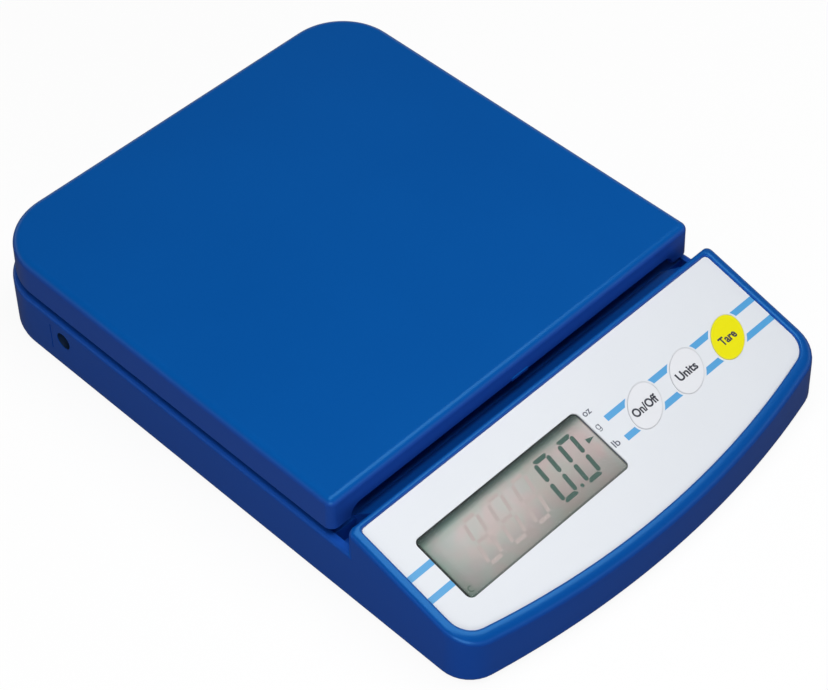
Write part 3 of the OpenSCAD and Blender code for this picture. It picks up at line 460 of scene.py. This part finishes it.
def settle(obj, name, material, body, slot, *nodes):
    """Applies the object's place to its mesh, names it, and hands it to its body. A piece that bends
    has no body of its own."""
    pick(obj)
    bpy.ops.object.transform_apply(location=True, rotation=True, scale=True)
    obj.name = name
    obj.data.materials.clear()
    obj.data.materials.append(material)
    if body:
        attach(obj, body)
    if nodes:
        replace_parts(obj, *nodes)
    return obj


def joined(pieces, name):
    """Several small pieces of one thing, as one object."""
    pick(pieces[0])
    for piece in pieces:
        piece.select_set(True)
    bpy.ops.object.join()
    pieces[0].name = name
    return pieces[0]


def panel_point(x, v, w):
    """A point of the label plane, in metres."""
    return (PANEL_ORIGIN + PANEL_DOWN * v + PANEL_OUT * w + Vector((x, 0, 0))) * MM


def panel_matrix(x, v, w):
    """Turns a drawing in the XY plane, in millimetres, onto the label plane, in metres."""
    axes = Matrix((Vector((1, 0, 0)), -PANEL_DOWN, PANEL_OUT)).transposed().to_4x4()
    return Matrix.Translation(panel_point(x, v, w)) @ axes @ Matrix.Scale(MM, 4)


def word(text, name, x, v, w, width, height, bold, material, body, slot):
    """A printed word centred on the label plane, as a thin solid, scaled to a width and a cap height."""
    cap = 0.73
    deselect()
    bpy.ops.object.text_add()
    letters = bpy.context.object.data
    letters.body = text
    letters.align_x = "CENTER"
    letters.offset = bold
    letters.resolution_u = 6
    letters.extrude = INK / 2
    bpy.ops.object.convert(target="MESH")
    obj = bpy.context.object
    xs = [vertex.co.x for vertex in obj.data.vertices]
    fit = Matrix.Diagonal((width / (max(xs) - min(xs)), height / cap, 1, 1))
    middle = Matrix.Translation((-(max(xs) + min(xs)) / 2, -cap / 2, INK / 2))
    obj.data.transform(panel_matrix(x, v, w) @ fit @ middle)
    settle(obj, name, material, body, slot)


def raise_from_panel(extrude, height):
    """Extrudes all of the active mesh out of the label's face, and turns its faces outwards."""
    bpy.ops.object.mode_set(mode="EDIT")
    bpy.ops.mesh.select_all(action="SELECT")
    extrude(TRANSFORM_OT_translate={"value": PANEL_OUT * height * MM})
    bpy.ops.mesh.select_all(action="SELECT")
    bpy.ops.mesh.normals_make_consistent(inside=False)
    bpy.ops.object.mode_set(mode="OBJECT")


def flat_solid(name, outline, material, slot, w):
    """A thin printed shape: its outline in x and v is filled and extruded out of the face."""
    deselect()
    bpy.ops.mesh.primitive_circle_add(vertices=len(outline), fill_type="NGON")
    obj = bpy.context.object
    for vertex, (x, v) in zip(obj.data.vertices, outline):
        vertex.co = panel_point(x, v, w)
    raise_from_panel(bpy.ops.mesh.extrude_region_move, INK)
    return settle(obj, name, material, "base", slot)


def on_label(name, outline):
    return flat_solid(name, outline, GREY_INK, "label_film", 0.0)


def on_glass(name, outline, material=SEGMENT):
    return flat_solid(name, outline, material, "display_glass", GLASS_TOP)


def stroke(points, half):
    """Outline of a pen stroke of a given half width along some points."""
    left, right = [], []
    for k, (x, v) in enumerate(points):
        ahead, back = points[min(k + 1, len(points) - 1)], points[max(k - 1, 0)]
        run = Vector((ahead[0] - back[0], ahead[1] - back[1])).normalized() * half
        left.append((x - run.y, v + run.x))
        right.append((x + run.y, v - run.x))
    return left + right[::-1]


def arc(x, v, wide, high, start, end, count=20):
    """Points on an arc, its angles in degrees from +x towards +v."""
    turns = [math.radians(start + (end - start) * k / count) for k in range(count + 1)]
    return [(x + wide * math.cos(a), v + high * math.sin(a)) for a in turns]


def key_lip(name, middle):
    """Lip of the label film that closes the gap round a key without touching it."""
    deselect()
    bpy.ops.mesh.primitive_circle_add(vertices=96, fill_type="NOTHING")
    obj = bpy.context.object
    for k, vertex in enumerate(obj.data.vertices):
        turn = 2 * math.pi * k / 96
        along = (KEY_LENGTH / 2 + LIP_OUT) * math.cos(turn)
        across = (KEY_WIDTH / 2 + LIP_OUT) * math.sin(turn)
        x = middle + along * math.cos(KEY_LEAN) - across * math.sin(KEY_LEAN)
        v = KEY_V - along * math.sin(KEY_LEAN) - across * math.cos(KEY_LEAN)
        vertex.co = panel_point(x, v, LIP_LOW)
    raise_from_panel(bpy.ops.mesh.extrude_edges_move, LIP_HIGH)
    apply_modifier(obj, "SOLIDIFY", thickness=LIP_WIDTH * MM, offset=-1)
    settle(obj, name, LIP, "base", "label_film")


def smooth_copy(node, body, slot):
    """A merged and smoothly shaded copy of a CAD node, which stands for it."""
    obj = bpy.data.objects.new(node + "_skin", NODES[node].data.copy())
    bpy.context.scene.collection.objects.link(obj)
    pick(obj)
    bpy.ops.mesh.customdata_custom_splitnormals_clear()
    bpy.ops.object.mode_set(mode="EDIT")
    bpy.ops.mesh.select_all(action="SELECT")
    bpy.ops.mesh.remove_doubles(threshold=0.01 * MM)
    bpy.ops.object.mode_set(mode="OBJECT")
    bpy.ops.object.shade_smooth_by_angle(angle=math.radians(32))
    apply_modifier(obj, "WEIGHTED_NORMAL", keep_sharp=True)
    return settle(obj, node + "_skin", NODE_MATERIALS[node], body, slot, node)


# --- camera, light and floor ----------------------------------------------------------------------

# The camera was fitted to the photograph's straight edges.
camera = bpy.data.objects.new("camera", bpy.data.cameras.new("camera"))
bpy.context.scene.collection.objects.link(camera)
camera.location = (-0.334544, -0.338935, 0.529247)
camera.rotation_euler = Euler([math.radians(a) for a in (42.2921, 0.5354, -45.3859)], "XYZ")
camera.data.lens = 102.785
camera.data.sensor_width = 36
camera.data.clip_start = 0.01
bpy.context.scene.camera = camera
bpy.context.scene.view_settings.view_transform = "Standard"


def soft_light(name, place, size, power, facing=None):
    """A rectangular soft light that faces the balance, or has its back to a given direction."""
    light = bpy.data.lights.new(name, "AREA")
    light.shape = "RECTANGLE"
    light.size, light.size_y = size
    light.energy = power
    obj = bpy.data.objects.new(name, light)
    bpy.context.scene.collection.objects.link(obj)
    obj.location = place
    obj.rotation_euler = Vector(facing or place).to_track_quat("Z", "Y").to_euler()


soft_light("light_overhead", (-0.02, -0.095, 0.55), (0.74, 0.34), 2.95, (0, 0, 1))
soft_light("light_front_left", (-0.60, -0.56, 0.22), (0.5, 0.28), 1.9)


def backdrop_share(tree):
    """One for rays that look at the backdrop, from the camera or through glass, and a little for gloss."""
    rays = add(tree, "LightPath").outputs
    share = add(tree, "Math", {0: rays["Is Glossy Ray"]}, operation="MULTIPLY",
                inputs={1: BACKDROP_IN_GLOSS}).outputs[0]
    for ray in ("Is Camera Ray", "Is Transmission Ray"):
        share = add(tree, "Math", {0: share, 1: rays[ray]}, operation="MAXIMUM").outputs[0]
    return share


# The world is white to the camera. It lights the balance from near the horizon, and little from above.
world = bpy.data.worlds.new("studio")
bpy.context.scene.world = world
world.use_nodes = True
tree = world.node_tree
tree.nodes.clear()
height = add(tree, "SeparateXYZ", {0: add(tree, "TexCoord").outputs["Generated"]}).outputs["Z"]
level = add(tree, "MapRange", {"Value": height}, interpolation_type="SMOOTHSTEP",
            inputs={"From Min": 0.20, "From Max": 0.45, "To Min": 0.8, "To Max": 0.07})
bright = add(tree, "Math", {0: level.outputs["Result"], 1: backdrop_share(tree)}, operation="MAXIMUM")
sky = add(tree, "Background", {"Strength": bright.outputs[0]}, inputs={"Color": (1, 1, 1, 1)})
add(tree, "OutputWorld", {"Surface": sky.outputs[0]})

# Floor of matte paper: grey to the lamps, so that it throws little light back, and white to the camera.
bpy.ops.mesh.primitive_plane_add(size=6)
floor = bpy.context.object
floor.name = "floor"
floor_material, tree, shader = new_material("white_paper_floor", roughness=0.9, specular=0.1)
shader.inputs["Base Color"].default_value = linear("#505050")
glow = add(tree, "Emission", inputs={"Color": (1, 1, 1, 1), "Strength": FLOOR_GLOW})
dark = add(tree, "Emission", inputs={"Strength": 0.0})
lift = add(tree, "MixShader", {0: backdrop_share(tree), 1: dark.outputs[0], 2: glow.outputs[0]})
paper = add(tree, "AddShader", {0: shader.outputs[0], 1: lift.outputs[0]})
tree.links.new(paper.outputs[0], tree.nodes["Material Output"].inputs["Surface"])
floor.data.materials.append(floor_material)


# --- mouldings and the weighing cell -----------------------------------------------------------------

smooth_copy("housing", "base", "housing_plastic")
smooth_copy("platform", "weighing_platform", "platform_plastic")

# The weighing cell bends between its fixed rear end and its free front end, and its gauges bend with it.
cell_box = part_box("weighing_cell")
cell_middle = (cell_box[0][1] + cell_box[1][1]) / 2
for node, slot in (("weighing_cell", "cell_aluminium"), ("strain_gauges", "gauge_sealant")):
    piece = smooth_copy(node, None, slot)
    if node == "strain_gauges":
        apply_modifier(piece, "BEVEL", width=0.4 * MM, segments=4)
    pick(piece)
    bpy.ops.object.mode_set(mode="EDIT")
    for step in range(-CELL_STEPS, CELL_STEPS + 1):
        bpy.ops.mesh.select_all(action="SELECT")
        bpy.ops.mesh.bisect(plane_co=(0, cell_middle + CELL_BEND * step / CELL_STEPS, 0), plane_no=(0, 1, 0))
    bpy.ops.object.mode_set(mode="OBJECT")
    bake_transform(piece)


# --- print on the keys and the label ----------------------------------------------------------------

for key, middle, text, text_middle, width in KEYS:
    word(text, "word_" + key, text_middle, KEY_V, KEY_PROUD, width, WORD_HEIGHT, WORD_BOLD, DARK_INK,
         key + "_key", "key_white")
    key_lip("film_lip_" + key, middle)

for text, name, x, v, width in UNIT_MARKS:
    word(text, name, x, v, 0.0, width, MARK_HEIGHT, MARK_BOLD, GREY_INK, "base", "label_film")

# The g is drawn with a pen: an upright that ends in a hook, and an open bowl.
g_stem = [(3.72, 18.75), (3.72, 19.4), (3.72, 20.3)] + arc(3.12, 20.35, 0.60, 0.62, 10, 150, 14)
on_label("mark_g_stem", stroke(g_stem, G_PEN))
on_label("mark_g_bowl", stroke(arc(3.12, 19.55, 0.58, 0.75, 18, 342, 28), G_PEN))


# --- figures on the display ---------------------------------------------------------------------------

def digit_zero(name, left_top, left_low):
    """A zero of six liquid crystal segments that leans to the right."""
    half = SEGMENT_HALF

    def lean(v):
        return left_top + (left_low - left_top) * (v - ROW_TOP) / (ROW_LOW - ROW_TOP)

    def rung(part, v, inward):
        """A level segment whose inner side is the shorter one."""
        a = lean(v) + SEGMENT_GAP - SEGMENT_REACH
        b = lean(v) + ZERO_WIDTH - SEGMENT_GAP + SEGMENT_REACH
        outer, waist, inner = v - inward * half, v - BLUNT * inward * half, v + inward * half
        on_glass(name + part, [(a, waist), (a + 0.6 * half, outer), (b - 0.6 * half, outer),
                               (b, waist), (b - 1.3 * half, inner), (a + 1.3 * half, inner)])

    def bar(part, a, b, x_offset):
        """An upright segment with blunt slanting ends, from a to b along v."""
        a, b = a + SEGMENT_GAP + BAR_INSET, b - SEGMENT_GAP - BAR_INSET
        corners = ((-BLUNT, a), (BLUNT, a), (1, a + TAPER * half), (1, b - TAPER * half),
                   (BLUNT, b), (-BLUNT, b), (-1, b - TAPER * half), (-1, a + TAPER * half))
        on_glass(name + part, [(lean(v) + x_offset + side * half, v) for side, v in corners])

    rung("_a", ROW_TOP, 1)
    rung("_d", ROW_LOW, -1)
    for x_offset, upper, lower in ((0, "_f", "_e"), (ZERO_WIDTH, "_b", "_c")):
        bar(upper, ROW_TOP, ROW_MIDDLE, x_offset)
        bar(lower, ROW_MIDDLE, ROW_LOW, x_offset)


def unlit_figure(left):
    """Bars of a figure eight that isn't switched on, just seen in the glass."""
    made = []
    half = UNLIT_HALF
    for top, low in UNLIT_BARS:
        for side in (0, UNLIT_WIDTH):
            x_top, x_low = (left + side - UNLIT_LEAN * (v - ROW_TOP) for v in (top, low))
            outline = [(x_top - half, top + UNLIT_INSET), (x_top + half, top + UNLIT_INSET),
                       (x_low + half, low - UNLIT_INSET), (x_low - half, low - UNLIT_INSET)]
            made.append(on_glass("bar", outline, UNLIT))
    for v in (ROW_TOP, ROW_MIDDLE, ROW_LOW):
        x = left - UNLIT_LEAN * (v - ROW_TOP)
        outline = [(x + 0.5, v - half), (x + 4.5, v - half), (x + 4.4, v + half), (x + 0.4, v + half)]
        made.append(on_glass("bar", outline, UNLIT))
    return made


digit_zero("zero_left", -19.35, -20.75)
digit_zero("zero_right", -9.7, -11.05)
on_glass("decimal_point", arc(-13.4, 29.2, POINT_RADIUS, POINT_RADIUS, 0, 337.5, 15))
on_glass("corner_ring", stroke(arc(-60.0, 31.3, 0.72, 0.85, -310, -40), 0.17), FAINT_SEGMENT)
on_glass("unit_pointer", [(-2.3, 19.6), (0.5, 20.55), (-2.3, 21.4)])
joined([bar for left in (-28.9, -38.4, -47.9) for bar in unlit_figure(left)], "unlit_figures")


# --- fasteners underneath, and the mouth of the power jack -------------------------------------------------

def select_in(obj, part, wanted):
    """Selects the edges or the faces of the mesh in edit mode that are wanted."""
    bpy.ops.mesh.select_mode(type=part)
    bpy.ops.mesh.select_all(action="DESELECT")
    mesh = bmesh.from_edit_mesh(obj.data)
    for element in (mesh.edges if part == "EDGE" else mesh.faces):
        element.select = wanted(element)
    bmesh.update_edit_mesh(obj.data)


def screws(name, places, head_z, head_r, head_h, shank_r, length, recess, material, slot, node):
    """Screws that point up: a head with a rounded rim and a recess, and a shank with a tapered tip."""
    made = []
    for x, y in places:
        deselect()
        bpy.ops.mesh.primitive_cylinder_add(vertices=48, radius=head_r * MM, depth=head_h * MM,
                                            location=(0, 0, head_h / 2 * MM))
        obj = bpy.context.object
        bpy.ops.object.transform_apply(location=True)
        bpy.ops.object.mode_set(mode="EDIT")
        select_in(obj, "EDGE", lambda edge: all(v.co.z < 0.0001 * MM for v in edge.verts))
        bpy.ops.mesh.bevel(offset=HEAD_ROUND * MM, segments=4, affect="EDGES")
        select_in(obj, "FACE", lambda face: face.normal.z > 0.9)
        bpy.ops.mesh.inset(thickness=(head_r - shank_r) * MM)
        for rise in (length - head_h - TIP_LENGTH, TIP_LENGTH):
            bpy.ops.mesh.extrude_region_move(TRANSFORM_OT_translate={"value": (0, 0, rise * MM)})
        bpy.ops.transform.resize(value=(TIP_TAPER, TIP_TAPER, 1))
        bpy.ops.object.mode_set(mode="OBJECT")
        cutters = []
        if recess == "cross":
            for size in CROSS_SLOTS:
                bpy.ops.mesh.primitive_cube_add(size=MM, location=(0, 0, 0), scale=size)
                cutters.append(bpy.context.object)
        else:
            bpy.ops.mesh.primitive_cylinder_add(vertices=6, radius=HEXAGON_RADIUS * MM,
                                                depth=HEXAGON_DEPTH * MM, location=(0, 0, 0))
            cutters.append(bpy.context.object)
        for cutter in cutters:
            apply_modifier(obj, "BOOLEAN", operation="DIFFERENCE", solver="EXACT", object=cutter)
            bpy.data.objects.remove(cutter)
        obj.location = (x * MM, y * MM, head_z * MM)
        pick(obj)
        bpy.ops.object.shade_smooth_by_angle(angle=math.radians(30))
        made.append(settle(obj, name, material, "base", slot))
    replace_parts(joined(made, name), node)


screws("cross_head_screws", COVER_SCREWS, 1.4, 2.6, 1.6, 1.25, 10.6, "cross", ZINC, "zinc_screw",
       "housing_screws")
screws("socket_head_screws", CELL_SCREWS, 1.4, 3.49, 3.0, 2.0, 11.8, "hexagon", DARK_STEEL, "dark_screw",
       "cell_base_screws")

# A thin sleeve lines the hole in the housing's wall, as far in as the jack: the jack's collar, partly put
# there to darken the hole as painted shade.
deselect()
bpy.ops.mesh.primitive_cylinder_add(vertices=64, radius=2.86 * MM, depth=2.8 * MM, end_fill_type="NOTHING",
                                    location=(-0.0737, 0.06935, 0.0137), rotation=(0, math.radians(90), 0))
collar = bpy.context.object
apply_modifier(collar, "SOLIDIFY", thickness=0.1 * MM, offset=-1)
bpy.ops.object.shade_smooth_by_angle(angle=math.radians(30))
settle(collar, "jack_collar", COLLAR_PAINTED_SHADE, "base", "black_plastic")
